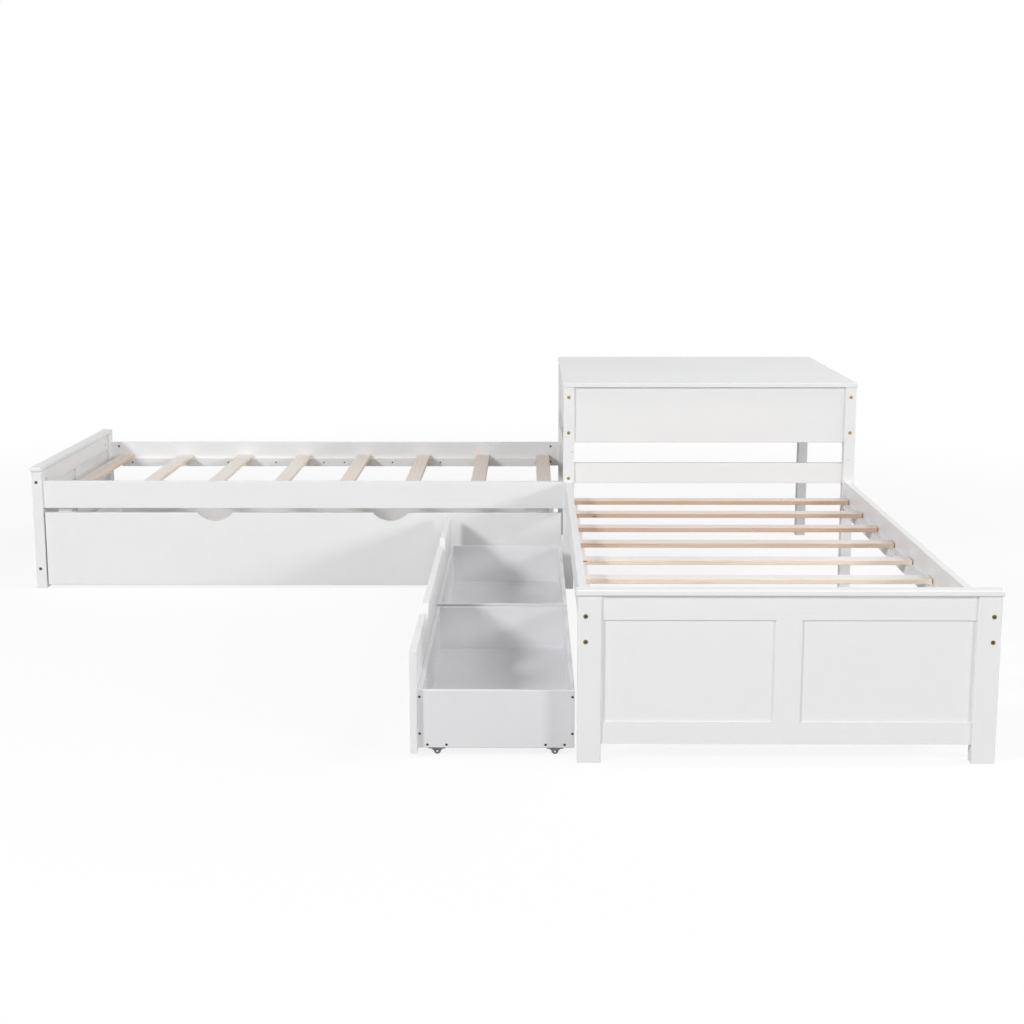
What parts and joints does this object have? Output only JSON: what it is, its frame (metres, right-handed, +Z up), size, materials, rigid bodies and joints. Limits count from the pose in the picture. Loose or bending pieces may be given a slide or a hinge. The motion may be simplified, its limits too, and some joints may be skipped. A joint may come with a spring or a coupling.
{
  "type": "l-shaped platform bed",
  "caption": "Twin platform beds joined at a corner desk in an L, with slatted bases, panelled footboards, rolling under-bed drawers on one side and a trundle on the other.",
  "frame": {"origin": "on the floor, at the middle of the square that the L covers", "axes": "+Z up; from the corner desk at +X +Y the front bed runs to -Y and the left bed to -X"},
  "size_m": [3.018, 3.018, 0.762],
  "materials": {
    "white_paint": "white satin paint on wood",
    "slat_wood": "bare planed pine",
    "drawer_board": "pale grey sealed fibreboard",
    "bolt_brass": "bronzed brass plating",
    "nut_steel": "zinc plated",
    "screw_dark": "dark bronzed",
    "caster_steel": "dark grey zinc",
    "wheel_plastic": "moulded"
  },
  "bodies": {
    "frame": {"front_bed_inner_post": "white_paint", "front_bed_outer_post": "white_paint", "front_bed_top_rail": "white_paint", "front_bed_bottom_rail": "white_paint", "front_bed_stile": "white_paint", "front_bed_panels": "white_paint", "front_bed_cap": "white_paint", "front_bed_inner_rail": "white_paint", "front_bed_outer_rail": "white_paint", "front_bed_slats": "slat_wood", "left_bed_inner_post": "white_paint", "left_bed_outer_post": "white_paint", "left_bed_top_rail": "white_paint", "left_bed_bottom_rail": "white_paint", "left_bed_stile": "white_paint", "left_bed_panels": "white_paint", "left_bed_cap": "white_paint", "left_bed_inner_rail": "white_paint", "left_bed_outer_rail": "white_paint", "left_bed_slats": "slat_wood", "desk_front_left_leg": "white_paint", "desk_front_right_leg": "white_paint", "desk_back_left_leg": "white_paint", "desk_back_right_leg": "white_paint", "desk_front_apron": "white_paint", "desk_back_apron": "white_paint", "desk_left_apron": "white_paint", "desk_right_apron": "white_paint", "desk_front_guard": "white_paint", "desk_left_guard": "white_paint", "desk_top": "white_paint", "slat_ledgers": "white_paint", "stop_blocks": "white_paint", "connector_bolts": "bolt_brass", "barrel_nuts": "nut_steel", "ledger_screws": "screw_dark"},
    "near_drawer": {"near_drawer_front": "white_paint", "near_drawer_box": "white_paint", "near_drawer_bottom": "drawer_board", "near_drawer_caster_blocks": "white_paint", "near_drawer_screws": "screw_dark", "near_drawer_caster_forks": "caster_steel"},
    "far_drawer": {"far_drawer_front": "white_paint", "far_drawer_box": "white_paint", "far_drawer_bottom": "drawer_board", "far_drawer_caster_blocks": "white_paint", "far_drawer_screws": "screw_dark", "far_drawer_caster_forks": "caster_steel"},
    "trundle": {"trundle_front": "white_paint", "trundle_boards": "white_paint", "trundle_battens": "white_paint", "trundle_slats": "slat_wood", "trundle_screws": "screw_dark", "trundle_caster_forks": "caster_steel"},
    "near_drawer_front_wheelset": {"near_drawer_front_wheels": "wheel_plastic"},
    "near_drawer_rear_wheelset": {"near_drawer_rear_wheels": "wheel_plastic"},
    "far_drawer_front_wheelset": {"far_drawer_front_wheels": "wheel_plastic"},
    "far_drawer_rear_wheelset": {"far_drawer_rear_wheels": "wheel_plastic"},
    "trundle_front_wheelset": {"trundle_front_wheels": "wheel_plastic"},
    "trundle_rear_wheelset": {"trundle_rear_wheels": "wheel_plastic"}
  },
  "joints": [
    {"name": "near_drawer_slide", "type": "slide", "parent": "frame", "child": "near_drawer", "axis": [1, 0, 0], "range_m": [0, 0.436]},
    {"name": "far_drawer_slide", "type": "slide", "parent": "frame", "child": "far_drawer", "axis": [1, 0, 0], "range_m": [0, 0.436]},
    {"name": "trundle_slide", "type": "slide", "parent": "frame", "child": "trundle", "axis": [0, -1, 0], "range_m": [0, 0.05]},
    {"name": "near_drawer_front_roll", "type": "hinge", "parent": "near_drawer", "child": "near_drawer_front_wheelset", "pos_m": [0.085, -1.001, 0.009], "axis": [0, 1, 0], "continuous": true},
    {"name": "near_drawer_rear_roll", "type": "hinge", "parent": "near_drawer", "child": "near_drawer_rear_wheelset", "pos_m": [0.389, -1.001, 0.009], "axis": [0, 1, 0], "continuous": true},
    {"name": "far_drawer_front_roll", "type": "hinge", "parent": "far_drawer", "child": "far_drawer_front_wheelset", "pos_m": [0.085, -0.067, 0.009], "axis": [0, 1, 0], "continuous": true},
    {"name": "far_drawer_rear_roll", "type": "hinge", "parent": "far_drawer", "child": "far_drawer_rear_wheelset", "pos_m": [0.389, -0.067, 0.009], "axis": [0, 1, 0], "continuous": true},
    {"name": "trundle_front_roll", "type": "hinge", "parent": "trundle", "child": "trundle_front_wheelset", "pos_m": [-0.512, 0.571, 0.009], "axis": [1, 0, 0], "continuous": true},
    {"name": "trundle_rear_roll", "type": "hinge", "parent": "trundle", "child": "trundle_rear_wheelset", "pos_m": [-0.512, 1.335, 0.009], "axis": [1, 0, 0], "continuous": true}
  ],
  "couplings": [
    {"joint": "near_drawer_front_roll", "follows": "near_drawer_slide", "rad_per_m": 111.11},
    {"joint": "near_drawer_rear_roll", "follows": "near_drawer_slide", "rad_per_m": 111.11},
    {"joint": "far_drawer_front_roll", "follows": "far_drawer_slide", "rad_per_m": 111.11},
    {"joint": "far_drawer_rear_roll", "follows": "far_drawer_slide", "rad_per_m": 111.11},
    {"joint": "trundle_front_roll", "follows": "trundle_slide", "rad_per_m": 111.11},
    {"joint": "trundle_rear_roll", "follows": "trundle_slide", "rad_per_m": 111.11}
  ]
}
